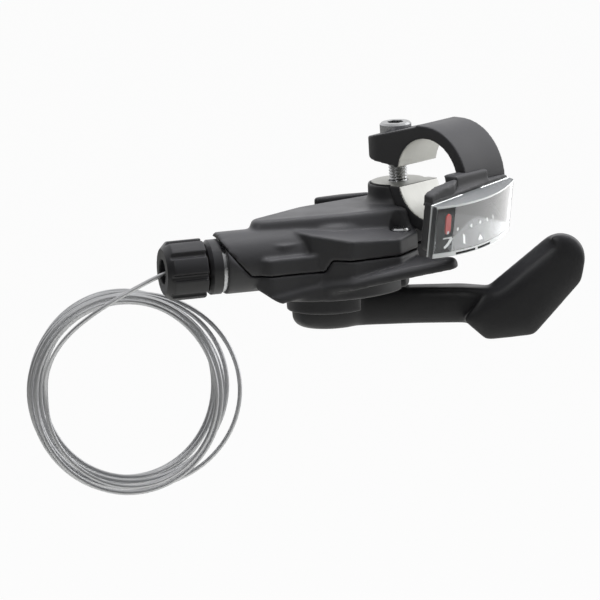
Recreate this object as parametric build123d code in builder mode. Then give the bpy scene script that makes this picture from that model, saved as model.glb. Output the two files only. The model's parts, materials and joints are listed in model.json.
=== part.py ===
"""Right-hand trigger gear shifter for a flat handlebar, with its inner cable.

The origin is the centre of the clamp bore. +X runs along the handlebar to its outboard end,
+Y points to the front of the bicycle and +Z is up, along the clamp bolt. Units are millimetres.
The casing lies at 45 degrees to the bar, so its plans are drawn on level planes whose first
direction points outboard and back, and whose second direction points outboard and forward.
"""
import os
from math import atan2, cos, degrees, pi, radians, sin, sqrt, tan

from build123d import *

# Handlebar clamp
bar_radius = 11.1
clamp_wall = 3.5
clamp_width = 15.0
bolt_offset = 18.2
slit_top = 2.4
slit_bottom = -2.8
slit_rise = 1.1
ear_end_top = 10.1
ear_radius = 7.5
boss_radius = 7.4
boss_neck = 11.0
bolt_radius = 2.5
bolt_head_radius = 4.25
bolt_head_height = 5.0
bolt_seat = 8.0
bolt_socket_width = 4.0
bolt_socket_depth = 2.6
bolt_length = 18.0

# Clearances
running_gap = 0.05
seat_gap = 0.05
part_gap = 0.3
bar_gap = 0.5

# Casing
wall = 1.4
crest_top = -8.0
crest_foot = -14.0
crest_draft = 18.0
crest_round = 1.5
crest_corner = 3.0
shoulder_top = -10.4
shoulder_round = 2.2
collar_wall = 0.85
collar_top = -3.0
collar_flare = 2.6
flare_sink = 0.5
collar_shoulder = 1.6
platform_height = -13.0
platform_fall_out = 0.0924
platform_rise_back = 0.062
platform_edge = 0.5
platform_corner = 2.0
step_top = -17.0
step_edge = 0.8
step_corner = 1.4
seam_left = -21.7
seam_right = -18.4
seam_gap = 0.2
floor_height = -29.5
floor_from = -47.0
floor_slope = 0.16
floor_wall = 1.6
flange_height = 3.0
flange_edge = 1.0
flange_corner = 1.8
snout_radius = 8.4
snout_rise = 0.8
snout_hood = 1.2
snout_length = 24.0
tub_radius = 13.3
tub_floor = 1.8
skirt_radius = 11.7
skirt_wall = 1.0
skirt_bottom = -35.0
skirt_open_from = -44.0
skirt_open_to = 86.0
guard_radius = 21.5

# Mechanism
pivot_a = -32.8
pivot_b = 4.6
axle_radius = 3.0
cable_radius = 0.6
cable_height = -19.4
cable_yaw = 14.0
cable_reach = 31.2
spool_groove_radius = 7.5
spool_flange_radius = 8.5
spool_height = 4.8
ratchet_tip = 8.6
ratchet_root = 7.2
ratchet_thickness = 1.3
ratchet_pitch = 24.2
gear_count = 7
plate_thickness = 1.4
lever_plate_thickness = 1.2
pawl_pin_radius = 0.8
pawl_eye_radius = 1.9
drive_eye_radius = 1.3

# Thumb lever
lever_bottom = -39.6
lever_top = -29.8
lever_hub_radius = 10.4
paddle_depth = 6.0

# Barrel adjuster
seat_ring_radius = 6.9
seat_ring_width = 1.1
collar_ring_radius = 7.4
collar_ring_width = 3.5
knob_start = 5.4
knob_end = 16.4
knob_radius = 8.0
knob_chamfer = 1.8
knob_grooves = 8
groove_radius = 0.9
groove_turn = -6.0
neck_radius = 5.2
socket_radius = 3.4
socket_depth = 6.0

# Gear indicator
dial_length = 32.4
dial_height = 14.0
dial_yaw = 6.0
dial_lean = 12.5
dial_centre_x = -8.4
dial_centre_z = -7.4
dial_stand_off = 1.0
dial_tilt = 3.3
base_depth = 2.6
dial_thickness = 0.5
needle_thickness = 0.4
lens_wall = 1.0
lens_front = 0.7
lens_end_depth = 2.0
lens_mid_depth = 5.6
needle_travel = 21.0
needle_inset = 6.4
needle_rise = -0.7
needle_width = 2.2
needle_height = 5.2
tab_middle = -6.5
tab_width = 12.4
tab_depth = 1.4
tab_bottom = -3.0
tab_height = 6.5

# Inner cable
coil_half_width = 29.6
coil_half_height = 27.6
coil_hole_half_width = 20.8
coil_hole_half_height = 20.4
coil_depth = 16.2

# Values that follow from the sizes above
ring_radius = bar_radius + clamp_wall
collar_radius = boss_radius + seat_gap + collar_wall
plate_bottom = cable_height + spool_height / 2 + ratchet_thickness + part_gap
plate_top = plate_bottom + plate_thickness
spool_top = cable_height + spool_height / 2
spool_bottom = cable_height - spool_height / 2
ratchet_top = spool_top + ratchet_thickness
drive_bottom = spool_bottom - ratchet_thickness
lever_plate_top = drive_bottom - part_gap
lever_plate_bottom = lever_plate_top - lever_plate_thickness
floor_inside = lever_plate_bottom - part_gap
floor_outside = floor_inside - tub_floor
ceiling = crest_top - wall
tub_inside = tub_radius - wall
pivot = (pivot_a, pivot_b)
bolt = (-bolt_offset / sqrt(2), bolt_offset / sqrt(2))
yaw = radians(cable_yaw)
run_a = -cos(yaw)
run_b = -sin(yaw)
leave_a = pivot_a + spool_groove_radius * sin(yaw)
leave_b = pivot_b - spool_groove_radius * cos(yaw)
mouth_a = leave_a + run_a * cable_reach
mouth_b = leave_b + run_b * cable_reach


def world(a, b, z):
    """Point of the casing's own level directions, in the part's frame."""
    return Vector((a + b) / sqrt(2), (b - a) / sqrt(2), z)


def level(z):
    """Level plane of the casing at a height."""
    return Plane(origin=(0, 0, z), x_dir=(1, -1, 0), z_dir=(0, 0, 1))


def sloped(a, b, z, rise_a, rise_b):
    """Plane through a casing point that rises by the given slopes along the casing's directions."""
    middle = world(0, 0, z - rise_a * a - rise_b * b)
    return Plane(origin=middle, x_dir=world(1, 0, rise_a), z_dir=world(-rise_a, -rise_b, 1))


def around(centre, radius, angle):
    """Casing point at a distance and direction from a centre."""
    return (centre[0] + radius * cos(radians(angle)), centre[1] + radius * sin(radians(angle)))


def faces_up(face):
    """True for a face that looks up."""
    return face.normal_at().Z > 0.9


side = Plane(origin=(0, 0, 0), x_dir=(1, -1, 0), z_dir=(-1, -1, 0))
barrel = Plane(
    origin=world(mouth_a, mouth_b, cable_height),
    x_dir=world(-run_b, run_a, 0),
    z_dir=world(run_a, run_b, 0),
)
barrel_axis = Axis(barrel.origin, barrel.z_dir)
floor_plane = sloped(floor_from, 0, floor_height, floor_slope, 0)
platform_plane = sloped(-26.4, -19, platform_height, -platform_fall_out, platform_rise_back)

# Clamp bracket: split ring with a sloped ear above the slit and a round boss below it
ear_end = bolt_offset + 2.7
with BuildPart() as clamp_bracket:
    with BuildSketch(Plane.YZ):
        Circle(ring_radius)
    extrude(amount=clamp_width / 2, both=True)
    with BuildSketch(Plane.XY.offset(slit_top)):
        Rectangle(clamp_width, bolt_offset, align=(Align.CENTER, Align.MIN))
        with Locations((0, bolt_offset)):
            Circle(ear_radius)
    extrude(amount=ring_radius - slit_top)
    with BuildSketch(Plane.YZ) as above_ear:
        with BuildLine():
            slope_angle = degrees(atan2(ring_radius * 0.93 - ear_end_top, ear_end - ring_radius * 0.42))
            top_touch = (ring_radius * sin(radians(slope_angle)), ring_radius * cos(radians(slope_angle)))
            far_out = (bolt_offset + 3 * ear_radius, top_touch[1]
                       - (bolt_offset + 3 * ear_radius - top_touch[0]) * tan(radians(slope_angle)))
            Polyline(top_touch, far_out, (far_out[0], 2 * ring_radius), (top_touch[0], 2 * ring_radius), close=True)
        make_face()
    extrude(amount=clamp_width, both=True, mode=Mode.SUBTRACT)
    with BuildSketch(Plane.XY.offset(plate_top)):
        Rectangle(boss_neck, bolt_offset, align=(Align.CENTER, Align.MIN))
        with Locations((0, bolt_offset)):
            Circle(boss_radius)
    extrude(amount=slit_bottom - plate_top)
    with BuildSketch(Plane.YZ):
        Circle(bar_radius)
    extrude(amount=clamp_width, both=True, mode=Mode.SUBTRACT)
    with BuildSketch(Plane.YZ):
        with BuildLine():
            slit_end = 3 * bolt_offset
            slit_far_top = slit_top + slit_rise * (slit_end - bar_radius) / (ear_end - bar_radius)
            Polyline((0, slit_bottom), (slit_end, slit_bottom), (slit_end, slit_far_top), (bar_radius, slit_top),
                     (0, slit_top), close=True)
        make_face()
    extrude(amount=clamp_width, both=True, mode=Mode.SUBTRACT)
    with BuildSketch(Plane.XY.offset(plate_top)):
        with Locations((0, bolt_offset)):
            Circle(bolt_radius + running_gap)
    extrude(amount=3 * ring_radius, mode=Mode.SUBTRACT)
    with BuildSketch(Plane.XY.offset(bolt_seat)):
        with Locations((0, bolt_offset)):
            Circle(bolt_head_radius + part_gap)
    extrude(amount=2 * ring_radius, mode=Mode.SUBTRACT)
clamp_bracket.part.label = "clamp_bracket"

# Clamp bolt: socket cap screw down through the ear into the boss
with BuildPart() as clamp_bolt:
    with BuildSketch(Plane.XY.offset(bolt_seat)):
        with Locations((0, bolt_offset)):
            Circle(bolt_head_radius)
    extrude(amount=bolt_head_height)
    chamfer(clamp_bolt.edges().sort_by(Axis.Z)[-1], length=0.5)
    with BuildSketch(Plane.XY.offset(bolt_seat)):
        with Locations((0, bolt_offset)):
            Circle(bolt_radius)
    extrude(amount=-bolt_length)
    with BuildSketch(Plane.XY.offset(bolt_seat + bolt_head_height)):
        with Locations((0, bolt_offset)):
            RegularPolygon(bolt_socket_width / sqrt(3), 6)
    extrude(amount=-bolt_socket_depth, mode=Mode.SUBTRACT)
clamp_bolt.part.label = "clamp_bolt"

# Outlines of the casing on its level planes
pawl_pin = around(pivot, 12.2, -35)
trigger_pin = (-22.0, 12.5)
step_plan = [(-53, -10), (-52.2, -15.3), (-48.4, -17.9), (-40.6, -15.6), (-35.6, -15), (-30, -9), (-40, 0)]
platform_plan = [(-42, -9.5), (-37, -13.6), (-26.4, -18.8), (-13.3, -14), (-8.5, -4), bolt, pivot]
crest_plan = [(-54.6, -11.9), (-27, -7.2), (-13, -2.4), (-3, 0.8), (1.6, 8), (1.6, 18), (-3.6, 26.6), (-14.2, 28.4),
              (-30, 18.3), (-41.5, 10.8), (-54.6, -4)]
flange_plan = [(-53.2, -9.4), (-52.7, -15.7), (-48.6, -18.6), (-40.8, -16.4), (-35.2, -16), (-26.4, -20.2),
               (-12, -19.4), (1.2, -19.8), (2, -16.4), (-7.5, -4.5), bolt, pivot]
snout_root = (-46, -6.6)
bow = [(-60, -20.9), (-52, -25.6), (-45.2, -29.6), (-45.2, -36), (-60, -36)]
seam = [(-100, -12), (-61.2, -12), (-53.2, seam_left), (-33.7, seam_left), (-31.5, seam_right), (40, seam_right)]
deep = 60

# Low step on the front left of the casing
with BuildPart() as step_block:
    with BuildSketch(level(step_top)) as step_face:
        with BuildLine():
            Polyline(*step_plan, close=True)
        make_face()
        fillet(step_face.vertices(), radius=step_corner)
    extrude(amount=-deep)
    fillet(step_block.faces().sort_by(Axis.Z)[-1].edges(), radius=step_edge)
    split(bisect_by=floor_plane, keep=Keep.TOP)

# Sloped platform in front of the crest
with BuildPart() as platform_block:
    with BuildSketch(level(crest_top)) as platform_face:
        with BuildLine():
            Polyline(*platform_plan, close=True)
        make_face()
        fillet(platform_face.vertices().sort_by(Axis.Y)[:3], radius=platform_corner)
    extrude(amount=-deep)
    split(bisect_by=platform_plane, keep=Keep.BOTTOM)
    fillet(platform_block.faces().sort_by(Axis.Z)[-1].edges(), radius=platform_edge)
    split(bisect_by=floor_plane, keep=Keep.TOP)

# Round tub over the mechanism, drawn out to the collar, with a soft shoulder
with BuildPart() as tub_block:
    with BuildSketch(level(shoulder_top)):
        with Locations(pivot):
            Circle(tub_radius)
        with Locations(bolt):
            Circle(collar_radius + collar_shoulder)
        make_hull()
    extrude(amount=-deep)
    fillet(tub_block.faces().sort_by(Axis.Z)[-1].edges(), radius=shoulder_round)
    split(bisect_by=floor_plane, keep=Keep.TOP)
    with BuildSketch(level(floor_outside)):
        with Locations(pivot):
            Circle(tub_radius)
    extrude(amount=tub_floor)

# Lower wall that closes the back between the tub and the snout
with BuildPart() as back_block:
    with BuildSketch(level(crest_foot)):
        with Locations(pivot):
            Circle(tub_radius)
        with Locations(snout_root):
            Circle(snout_radius - snout_rise)
        make_hull()
    extrude(amount=-deep)
    split(bisect_by=floor_plane, keep=Keep.TOP)

# Crest: the tall drafted back of the cover, with the collar round the clamp boss flared into it
with BuildPart() as crest_block:
    with BuildSketch(level(crest_foot)):
        with BuildLine():
            Polyline(*crest_plan, close=True)
        make_face()
    extrude(amount=crest_top - crest_foot, taper=crest_draft)
    fillet(crest_block.edges().group_by(Axis.Z)[1:-1], radius=crest_corner)
    fillet(crest_block.faces().sort_by(Axis.Z)[-1].edges(), radius=crest_round)
    with BuildSketch(Plane.YZ):
        with BuildLine():
            flare_low = crest_top - flare_sink
            flare_middle = collar_flare * (1 - sqrt(0.5))
            collar_side = bolt_offset + collar_radius
            Polyline((bolt_offset, collar_top), (bolt_offset, crest_foot), (collar_side + collar_flare, crest_foot),
                     (collar_side + collar_flare, flare_low))
            ThreePointArc((collar_side + collar_flare, flare_low),
                          (collar_side + flare_middle, flare_low + flare_middle),
                          (collar_side, flare_low + collar_flare))
            Polyline((collar_side, flare_low + collar_flare), (collar_side, collar_top), (bolt_offset, collar_top))
        make_face()
    revolve(axis=Axis((0, bolt_offset, 0), (0, 0, 1)))

# Snout that holds the barrel adjuster
with BuildPart() as snout_block:
    with BuildSketch(barrel.offset(snout_hood)):
        with Locations((0, snout_rise)):
            Circle(snout_radius)
    extrude(amount=-(snout_hood + snout_length))

# Bottom flange with the arm that reaches under the indicator
with BuildPart() as flange_block:
    with BuildSketch(floor_plane) as flange_face:
        with BuildLine():
            Polyline(*flange_plan, close=True)
        make_face()
        fillet(flange_face.vertices().sort_by(Axis.Y)[:7], radius=flange_corner)
    extrude(amount=flange_height)
    chamfer(flange_block.faces().filter_by(faces_up).edges(), length=flange_edge)

# Guard over the sweep of the lever's arm, under the flange
with BuildPart() as guard_block:
    with BuildSketch(level(lever_top + part_gap)):
        with BuildLine():
            Polyline(*flange_plan, close=True)
        make_face()
        with Locations(pivot):
            Circle(guard_radius, mode=Mode.INTERSECT)
    extrude(amount=deep)
    split(bisect_by=floor_plane.offset(flange_height / 2), keep=Keep.BOTTOM)

with BuildPart() as casing:
    add(step_block.part)
    add(platform_block.part)
    add(tub_block.part)
    add(back_block.part)
    add(crest_block.part)
    add(flange_block.part)
    add(guard_block.part)
    with BuildSketch(side):
        with BuildLine():
            Polyline(*bow, close=True)
        make_face()
    extrude(amount=deep, both=True, mode=Mode.SUBTRACT)
    add(snout_block.part)

# Hollow for the mechanism inside both casing halves
with BuildPart() as hollow:
    with BuildSketch(level(ceiling)):
        with BuildLine():
            Polyline(*platform_plan, close=True)
        make_face()
        offset(amount=-wall)
    extrude(amount=-deep)
    split(bisect_by=platform_plane.offset(-wall), keep=Keep.BOTTOM)
    with BuildSketch(level(floor_inside)):
        with Locations(pivot):
            Circle(tub_inside)
        with Locations(bolt):
            Circle(collar_radius - wall)
        make_hull()
    extrude(amount=shoulder_top - wall - floor_inside)
    split(bisect_by=floor_plane.offset(floor_wall), keep=Keep.TOP)
    with BuildSketch(level(floor_inside)):
        with Locations(pivot):
            Circle(tub_inside)
    extrude(amount=plate_bottom - floor_inside)
    split(bisect_by=level(floor_inside), keep=Keep.TOP)
    with BuildSketch(level(plate_bottom)):
        with Locations(pivot):
            Circle(axle_radius + 4)
    extrude(amount=ceiling - plate_bottom)
    with BuildSketch(Plane.YZ):
        Circle(ring_radius + wall)
    extrude(amount=clamp_width, both=True, mode=Mode.SUBTRACT)


def below_seam(drop):
    """Sketch of everything under the parting line of the casing, lowered by a gap."""
    with BuildSketch(side.offset(-deep)) as under:
        with BuildLine():
            line = [(a, z - drop) for a, z in seam]
            Polyline(*line, (line[-1][0], -2 * deep), (line[0][0], -2 * deep), close=True)
        make_face()
    return under.sketch


under_cover = below_seam(0)
under_gap = below_seam(seam_gap)

# Upper cover
cover_screw_at = (-13.1, -3.3)
cover_screw_radius = 1.5
cover_screw_head = 2.6
cover_screw_seat = -14.2
slot_low = ratchet_top - ratchet_thickness - part_gap
with BuildPart() as upper_cover:
    add(casing.part)
    add(hollow.part, mode=Mode.SUBTRACT)
    extrude(under_cover, amount=2 * deep, mode=Mode.SUBTRACT)
    with BuildSketch(Plane.YZ):
        Circle(bar_radius + bar_gap)
    extrude(amount=deep, both=True, mode=Mode.SUBTRACT)
    with BuildSketch(Plane.YZ):
        Circle(ring_radius + seat_gap)
    extrude(amount=clamp_width / 2 + seat_gap, both=True, mode=Mode.SUBTRACT)
    with BuildSketch(Plane.XY.offset(plate_top - seat_gap)):
        Rectangle(boss_neck + 2 * seat_gap, bolt_offset, align=(Align.CENTER, Align.MIN))
        with Locations((0, bolt_offset)):
            Circle(boss_radius + seat_gap)
    extrude(amount=deep, mode=Mode.SUBTRACT)
    with BuildSketch(barrel):
        Circle(collar_ring_radius + seat_gap)
    extrude(amount=deep, mode=Mode.SUBTRACT)
    with BuildSketch(barrel):
        Circle(neck_radius - wall + running_gap)
    extrude(amount=-socket_depth - wall, mode=Mode.SUBTRACT)
    with BuildSketch(barrel):
        Circle(2.5 * cable_radius)
    extrude(amount=-cable_reach, mode=Mode.SUBTRACT)
    with BuildSketch(level(cover_screw_seat)):
        with Locations(cover_screw_at):
            Circle(cover_screw_head + part_gap)
    extrude(amount=deep, mode=Mode.SUBTRACT)
    with BuildSketch(level(cover_screw_seat)):
        with Locations(cover_screw_at):
            Circle(cover_screw_radius + running_gap)
    extrude(amount=-deep, mode=Mode.SUBTRACT)
    with BuildSketch(level(slot_low)):
        with BuildLine():
            Polyline(trigger_pin, around(trigger_pin, 16, 96), around(trigger_pin, 16, 158), close=True)
        make_face()
    extrude(amount=ratchet_thickness + 2 * part_gap, mode=Mode.SUBTRACT)
upper_cover.part.label = "upper_cover"

# Lower housing with the round skirt that guards the lever hub
with BuildPart() as lower_housing:
    add(casing.part)
    with BuildSketch(level(skirt_bottom)):
        with Locations(pivot):
            Circle(skirt_radius)
    extrude(amount=floor_outside - skirt_bottom)
    add(hollow.part, mode=Mode.SUBTRACT)
    extrude(under_gap, amount=2 * deep, mode=Mode.INTERSECT)
    with BuildSketch(level(floor_outside)):
        with Locations(pivot):
            Circle(skirt_radius - skirt_wall)
    extrude(amount=-deep, mode=Mode.SUBTRACT)
    with BuildSketch(level(lever_top + part_gap)):
        with BuildLine():
            Polyline(pivot, around(pivot, 3 * skirt_radius, skirt_open_from), around(pivot, 4 * skirt_radius, 20),
                     around(pivot, 3 * skirt_radius, skirt_open_to), close=True)
        make_face()
    extrude(amount=-deep, mode=Mode.SUBTRACT)
    with BuildSketch(level(floor_inside)):
        with Locations(pivot):
            Circle(axle_radius + 2 + part_gap)
    extrude(amount=-2 * tub_floor, mode=Mode.SUBTRACT)
    with BuildSketch(barrel):
        Circle(deep)
    extrude(amount=deep, mode=Mode.SUBTRACT)
    with BuildSketch(barrel):
        Circle(neck_radius - wall + running_gap)
    extrude(amount=-socket_depth - wall, mode=Mode.SUBTRACT)
    with BuildSketch(barrel):
        Circle(2.5 * cable_radius)
    extrude(amount=-cable_reach, mode=Mode.SUBTRACT)
    with BuildSketch(level(seam_right)):
        with Locations(cover_screw_at):
            Circle(cover_screw_radius + running_gap)
    extrude(amount=-deep, mode=Mode.SUBTRACT)
lower_housing.part.label = "lower_housing"

# Cover screw through the upper cover into the lower housing
with BuildPart() as cover_screw:
    with BuildSketch(level(cover_screw_seat)):
        with Locations(cover_screw_at):
            Circle(cover_screw_head)
    extrude(amount=1.4)
    chamfer(cover_screw.edges().sort_by(Axis.Z)[-1], length=0.4)
    with BuildSketch(level(cover_screw_seat)):
        with Locations(cover_screw_at):
            Circle(cover_screw_radius)
    extrude(amount=-6.5)
cover_screw.part.label = "cover_screw"

# Base plate that carries the mechanism under the boss
with BuildPart() as base_plate:
    with BuildSketch(level(plate_bottom)):
        with Locations(pivot):
            Circle(axle_radius + 2.5)
        with Locations(pawl_pin):
            Circle(pawl_pin_radius + 1.8)
        with Locations(trigger_pin):
            Circle(pawl_pin_radius + 1.8)
        make_hull()
    with BuildSketch(level(plate_bottom)):
        with Locations(pivot):
            Circle(axle_radius + 2.5)
        with Locations(bolt):
            Circle(collar_radius - wall - part_gap)
        with Locations(trigger_pin):
            Circle(pawl_pin_radius + 1.8)
        make_hull()
    extrude(amount=plate_thickness)
    with BuildSketch(level(plate_bottom)):
        with Locations(pivot):
            Circle(axle_radius + running_gap)
        with Locations(pawl_pin, trigger_pin):
            Circle(pawl_pin_radius + running_gap)
        with Locations(bolt):
            Circle(bolt_radius - 0.5 + running_gap)
    extrude(amount=plate_thickness, mode=Mode.SUBTRACT)
base_plate.part.label = "base_plate"

# Bracket screw from below through the base plate into the boss
with BuildPart() as bracket_screw:
    with BuildSketch(level(plate_bottom)):
        with Locations(bolt):
            Circle(bolt_radius + 1.2)
    extrude(amount=-1.8)
    with BuildSketch(level(plate_bottom)):
        with Locations(bolt):
            Circle(bolt_radius - 0.5)
    extrude(amount=plate_thickness + 3)
bracket_screw.part.label = "bracket_screw"

# Pivot axle with its head under the lever hub, washer and nut on the base plate
washer_thickness = 0.6
nut_height = 2.2
axle_top = plate_top + washer_thickness + nut_height + 0.5
head_recess = 1.8
with BuildPart() as pivot_axle:
    with BuildSketch(level(lever_bottom + head_recess)):
        with Locations(pivot):
            Circle(axle_radius)
    extrude(amount=axle_top - lever_bottom - head_recess)
    with BuildSketch(level(lever_bottom + head_recess)):
        with Locations(pivot):
            Circle(axle_radius + 1.6)
    extrude(amount=-(head_recess - 2 * part_gap))
    chamfer(pivot_axle.edges().sort_by(Axis.Z)[0], length=0.4)
pivot_axle.part.label = "pivot_axle"

with BuildPart() as axle_washer:
    with BuildSketch(level(plate_top)):
        with Locations(pivot):
            Circle(axle_radius + 2.2)
            Circle(axle_radius + running_gap, mode=Mode.SUBTRACT)
    extrude(amount=washer_thickness)
axle_washer.part.label = "axle_washer"

with BuildPart() as axle_nut:
    with BuildSketch(level(plate_top + washer_thickness)):
        with Locations(pivot):
            RegularPolygon(axle_radius + 1.9, 6)
            Circle(axle_radius + running_gap, mode=Mode.SUBTRACT)
    extrude(amount=nut_height)
axle_nut.part.label = "axle_nut"

# Cable spool: grooved drum with a recess in its top for the winder spring and a pocket for the nipple
wrap_angle = 26
leave_angle = cable_yaw - 90
nipple_radius = 1.5
nipple_at = around(pivot, spool_groove_radius - 0.3, leave_angle + wrap_angle + 9)
spring_outer = spool_groove_radius - cable_radius - 1.2
spring_height = spool_height - 2.0
with BuildPart() as cable_spool:
    with BuildSketch(level(spool_bottom)):
        with Locations(pivot):
            Circle(spool_flange_radius)
    extrude(amount=spool_height)
    with BuildSketch(level(cable_height - cable_radius - running_gap)):
        with Locations(pivot):
            Circle(spool_flange_radius)
            Circle(spool_groove_radius - cable_radius - running_gap, mode=Mode.SUBTRACT)
    extrude(amount=2 * (cable_radius + running_gap), mode=Mode.SUBTRACT)
    with BuildSketch(level(spool_top)):
        with Locations(pivot):
            Circle(spring_outer + part_gap)
    extrude(amount=-spring_height - part_gap, mode=Mode.SUBTRACT)
    with BuildSketch(level(spool_top)):
        with Locations(pivot):
            Circle(axle_radius + running_gap)
        with Locations(nipple_at):
            Circle(nipple_radius + running_gap)
    extrude(amount=-spool_height, mode=Mode.SUBTRACT)
cable_spool.part.label = "cable_spool"


def ratchet_teeth(first_angle):
    """Root disc with one saw tooth for each gear, round the pivot."""
    with BuildSketch() as wheel:
        with Locations(pivot):
            Circle(ratchet_root)
        for tooth in range(gear_count):
            angle = first_angle + tooth * ratchet_pitch
            with BuildLine():
                tip = around(pivot, ratchet_tip, angle)
                Polyline(pivot, tip, around(pivot, ratchet_root, angle + ratchet_pitch), close=True)
            make_face()
    return wheel.sketch


# Positioning ratchet on top of the spool, drive ratchet under it
with BuildPart() as ratchet_wheel:
    with BuildSketch(level(spool_top)):
        add(ratchet_teeth(-30))
        with Locations(pivot):
            Circle(spring_outer + part_gap, mode=Mode.SUBTRACT)
    extrude(amount=ratchet_thickness)
ratchet_wheel.part.label = "ratchet_wheel"

with BuildPart() as drive_ratchet:
    with BuildSketch(level(spool_bottom)):
        add(ratchet_teeth(-60))
        with Locations(pivot):
            Circle(axle_radius + running_gap, mode=Mode.SUBTRACT)
    extrude(amount=-ratchet_thickness)
drive_ratchet.part.label = "drive_ratchet"


def spiral(inner, outer, turns, thickness):
    """Flat spiral strip round the pivot."""
    steps = 12 * turns
    growth = (outer - inner - thickness) / steps
    near = [around(pivot, inner + growth * i, 30 * i) for i in range(steps + 1)]
    far = [around(pivot, inner + thickness + growth * i, 30 * i) for i in range(steps + 1)]
    with BuildSketch() as strip:
        with BuildLine():
            Spline(*near)
            Spline(*far)
            Line(near[0], far[0])
            Line(near[-1], far[-1])
        make_face()
    return strip.sketch


# Winder spring in the spool's recess
with BuildPart() as winder_spring:
    with BuildSketch(level(spool_top - spring_height)):
        add(spiral(axle_radius + part_gap, spring_outer, 3, 0.35))
    extrude(amount=spring_height + ratchet_thickness)
winder_spring.part.label = "winder_spring"

# Cable end: barrel nipple in the spool with the short length of cable wrapped in the groove
with BuildPart() as cable_end:
    with BuildLine() as wrap_line:
        CenterArc(world(*pivot, cable_height), spool_groove_radius, leave_angle - 45, wrap_angle)
    with BuildSketch(Plane(origin=wrap_line.line @ 0, z_dir=wrap_line.line % 0)):
        Circle(cable_radius)
    sweep()
    with BuildSketch(level(spool_bottom + 1)):
        with Locations(nipple_at):
            Circle(nipple_radius)
    extrude(amount=spool_height - 2)
cable_end.part.label = "cable_end"

# Cable inside the snout, from the spool to the socket of the adjuster
with BuildPart() as cable_run:
    with BuildSketch(barrel.offset(-cable_reach)):
        Circle(cable_radius)
    extrude(amount=cable_reach + knob_end - socket_depth)
cable_run.part.label = "cable_run"

# Thumb lever: hub on the axle, curved arm and broad paddle
hub_top = floor_outside - part_gap
hub_round = 3.0
spigot_radius = axle_radius + 2
arm_plan = [(pivot_a, pivot_b + 4.2), (-10, 6.0), (3, 4.0), (12, -2.2), (20, -2.6), (20, -6), (10, -7.6), (2, -5),
            (-10, -2.6), (pivot_a, pivot_b - 5.4)]
arm_round = 1.4
paddle_front = 8.4
paddle_lobes = [(29.3, -22.9, 6.5), (31.2, -27.5, 3.6), (19.8, -40.3, 3), (9.2, -41.8, 2.1), (10.3, -30.3, 0.9),
                (3.6, -38.1, 0.9)]
paddle_round = 1.3
bevel_width = 3.4
bevel_depth = 3.2
bevel_start = (10.1, -29.2)
bevel_end = (26.3, -17.5)
with BuildPart() as lever_arm:
    with BuildSketch(level(lever_bottom)) as arm_face:
        with BuildLine():
            Polyline(*arm_plan, close=True)
        make_face()
        fillet(arm_face.vertices().filter_by_position(Axis.X, -12, 14), radius=5)
    extrude(amount=lever_top - lever_bottom)
    long_edges = lever_arm.edges().group_by(Axis.Z)
    fillet(long_edges[0] + long_edges[-1], radius=arm_round)

with BuildPart() as paddle:
    with BuildSketch(side.offset(paddle_front)):
        for lobe_a, lobe_z, lobe_radius in paddle_lobes:
            with Locations((lobe_a, lobe_z)):
                Circle(lobe_radius)
        make_hull()
    extrude(amount=-paddle_depth)
    bevel_run = Vector(bevel_end[0] - bevel_start[0], bevel_end[1] - bevel_start[1])
    bevel_along = bevel_run.normalized()
    bevel_plane = Plane(
        origin=side.offset(paddle_front).from_local_coords(Vector(*bevel_start)),
        x_dir=side.from_local_coords(Vector(bevel_along.Y, -bevel_along.X)),
        z_dir=side.from_local_coords(bevel_along),
    )
    with BuildSketch(bevel_plane.offset(-2)):
        with BuildLine():
            Polyline((bevel_width, 0), (0, bevel_depth), (-bevel_width, bevel_depth), (-bevel_width, -1),
                     (bevel_width, -1), close=True)
        make_face()
    extrude(amount=bevel_run.length + 2 * paddle_round, mode=Mode.SUBTRACT)

with BuildPart() as thumb_lever:
    with BuildSketch(level(lever_bottom)):
        with Locations(pivot):
            Circle(lever_hub_radius)
    extrude(amount=hub_top - lever_bottom)
    fillet(thumb_lever.edges().sort_by(Axis.Z)[0], radius=hub_round)
    add(lever_arm.part)
    add(paddle.part)
    with BuildSketch(level(hub_top)):
        with Locations(pivot):
            Circle(spigot_radius)
    extrude(amount=lever_plate_bottom - hub_top)
    with BuildSketch(level(hub_top)):
        with Locations(pivot):
            Circle(lever_hub_radius - 1)
            Circle(spigot_radius + 0.8, mode=Mode.SUBTRACT)
    extrude(amount=-2.4, mode=Mode.SUBTRACT)
    with BuildSketch(level(lever_bottom)):
        with Locations(pivot):
            Circle(axle_radius + running_gap)
    extrude(amount=deep, mode=Mode.SUBTRACT)
    with BuildSketch(level(lever_bottom)):
        with Locations(pivot):
            Circle(axle_radius + 1.6 + part_gap)
    extrude(amount=head_recess, mode=Mode.SUBTRACT)
thumb_lever.part.label = "thumb_lever"

# Lever spring in the hub's groove
with BuildPart() as lever_spring:
    with BuildSketch(level(hub_top - 2.0)):
        add(spiral(spigot_radius + 1.1, lever_hub_radius - 1.3, 2, 0.4))
    extrude(amount=2.0)
lever_spring.part.label = "lever_spring"

# Lever plate on the spigot, with the drive pawl on its pin
drive_pin_radius = 0.6
drive_pin = around(pivot, ratchet_tip + part_gap + drive_eye_radius, 60)
drive_tip = around(pivot, ratchet_tip + part_gap + 0.5, 79)
with BuildPart() as lever_plate:
    with BuildSketch(level(lever_plate_bottom)):
        with Locations(pivot):
            Circle(spigot_radius + 1.5)
        with Locations(drive_pin):
            Circle(drive_eye_radius)
        make_hull()
        with Locations(pivot):
            Circle(axle_radius + running_gap, mode=Mode.SUBTRACT)
        with Locations(drive_pin):
            Circle(drive_pin_radius + running_gap, mode=Mode.SUBTRACT)
    extrude(amount=lever_plate_thickness)
lever_plate.part.label = "lever_plate"

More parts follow.
